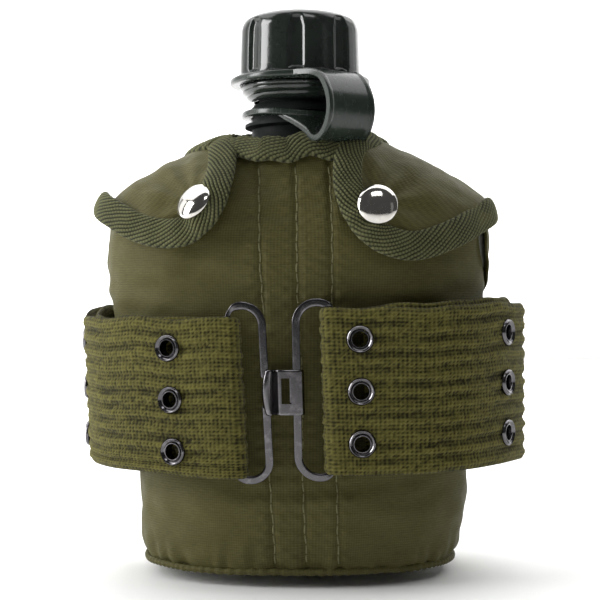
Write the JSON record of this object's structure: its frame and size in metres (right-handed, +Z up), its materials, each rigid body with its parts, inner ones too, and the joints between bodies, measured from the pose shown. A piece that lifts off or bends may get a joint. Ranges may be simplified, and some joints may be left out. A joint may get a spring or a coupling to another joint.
{
  "type": "canteen",
  "caption": "One-quart moulded bottle with a screw cap on a retaining strap, in a fabric cover with snap flaps, and a webbing belt buckled round it.",
  "frame": {"origin": "centre of the underside, on the floor under the axis of the bottle's neck", "axes": "+Z up along the neck, +X to the right as the buckle is looked at, -Y towards the buckle"},
  "size_m": [0.1625, 0.0989, 0.2],
  "materials": {
    "bottle_plastic": "semi-matt moulded polyethylene, dark green",
    "cap_plastic": "glossy moulded plastic, green-black",
    "seal_rubber": "soft black rubber",
    "cover_nylon": "fine olive nylon cloth with a low sheen",
    "binding_tape": "olive herringbone tape",
    "fleece": "pile lining",
    "belt_cotton": "coarse olive ribbed webbing",
    "snap_steel": "polished snap",
    "black_steel": "blackened steel, smooth"
  },
  "bodies": {
    "canteen": {"bottle": "bottle_plastic", "strap_neck_ring": "cap_plastic", "strap_band": "cap_plastic", "cover_front_panel": "cover_nylon", "cover_back_panel": "cover_nylon", "cover_bottom_panel": "cover_nylon", "cover_lining": "fleece", "bottom_piping": "binding_tape", "neck_binding_front": "binding_tape", "neck_binding_back": "binding_tape", "shoulder_left": "cover_nylon", "shoulder_right": "cover_nylon", "snap_stud_left": "snap_steel", "snap_stud_right": "snap_steel", "belt_webbing": "belt_cotton", "belt_end_clip_left": "black_steel", "belt_end_clip_right": "black_steel", "keeper_tab_left": "belt_cotton", "keeper_tab_right": "belt_cotton", "keeper_left": "black_steel", "keeper_right": "black_steel", "eyelet_1_a": "black_steel", "eyelet_1_b": "black_steel", "eyelet_1_c": "black_steel", "eyelet_2_a": "black_steel", "eyelet_2_b": "black_steel", "eyelet_2_c": "black_steel", "eyelet_3_a": "black_steel", "eyelet_3_b": "black_steel", "eyelet_3_c": "black_steel", "eyelet_4_a": "black_steel", "eyelet_4_b": "black_steel", "eyelet_4_c": "black_steel", "eyelet_5_a": "black_steel", "eyelet_5_b": "black_steel", "eyelet_5_c": "black_steel", "eyelet_6_a": "black_steel", "eyelet_6_b": "black_steel", "eyelet_6_c": "black_steel", "eyelet_7_a": "black_steel", "eyelet_7_b": "black_steel", "eyelet_7_c": "black_steel"},
    "cap_ring": {"strap_cap_ring": "cap_plastic"},
    "cap": {"cap": "cap_plastic", "cap_seal": "seal_rubber"},
    "flap_left": {"flap_left": "cover_nylon", "flap_left_binding": "binding_tape", "snap_cap_left": "snap_steel", "snap_socket_left": "snap_steel"},
    "flap_right": {"flap_right": "cover_nylon", "flap_right_binding": "binding_tape", "snap_cap_right": "snap_steel", "snap_socket_right": "snap_steel"},
    "loop_left": {"buckle_loop_left": "black_steel"},
    "loop_right": {"buckle_loop_right": "black_steel"},
    "hook": {"buckle_hook": "black_steel"},
    "slide_left": {"keeper_slide_left": "black_steel"},
    "slide_right": {"keeper_slide_right": "black_steel"}
  },
  "joints": [
    {"name": "cap_rise", "type": "slide", "parent": "canteen", "child": "cap_ring", "axis": [0, 0, 1], "range_m": [0, 0.01], "deforming": ["strap_band"]},
    {"name": "cap_turn", "type": "hinge", "parent": "cap_ring", "child": "cap", "pos_m": [0, 0, 0.18], "axis": [0, 0, 1], "range_deg": [0, 720]},
    {"name": "flap_left_open", "type": "hinge", "parent": "canteen", "child": "flap_left", "pos_m": [-0.04851, -0.01818, 0.13957], "axis": [-0.8844, 0.1931, -0.425], "range_deg": [0, 120]},
    {"name": "flap_right_open", "type": "hinge", "parent": "canteen", "child": "flap_right", "pos_m": [0.04268, -0.02264, 0.13808], "axis": [-0.9048, -0.1657, 0.3923], "range_deg": [0, 120]},
    {"name": "loop_left_swing", "type": "hinge", "parent": "canteen", "child": "loop_left", "pos_m": [-0.0232, -0.0445, 0.0644], "axis": [0, 0, 1], "range_deg": [0, 12]},
    {"name": "loop_right_swing", "type": "hinge", "parent": "canteen", "child": "loop_right", "pos_m": [0.0119, -0.0445, 0.0644], "axis": [0, 0, 1], "range_deg": [0, 60]},
    {"name": "hook_swing", "type": "hinge", "parent": "loop_right", "child": "hook", "pos_m": [-0.001, -0.0445, 0.0644], "axis": [0, 0, 1], "range_deg": [0, 70]},
    {"name": "slide_left_release", "type": "slide", "parent": "canteen", "child": "slide_left", "axis": [0, 0, -1], "range_m": [0, 0.008]},
    {"name": "slide_right_release", "type": "slide", "parent": "canteen", "child": "slide_right", "axis": [0, 0, -1], "range_m": [0, 0.008]}
  ],
  "couplings": [
    {"joint": "cap_rise", "follows": "cap_turn", "m_per_rad": 0.00079577}
  ]
}
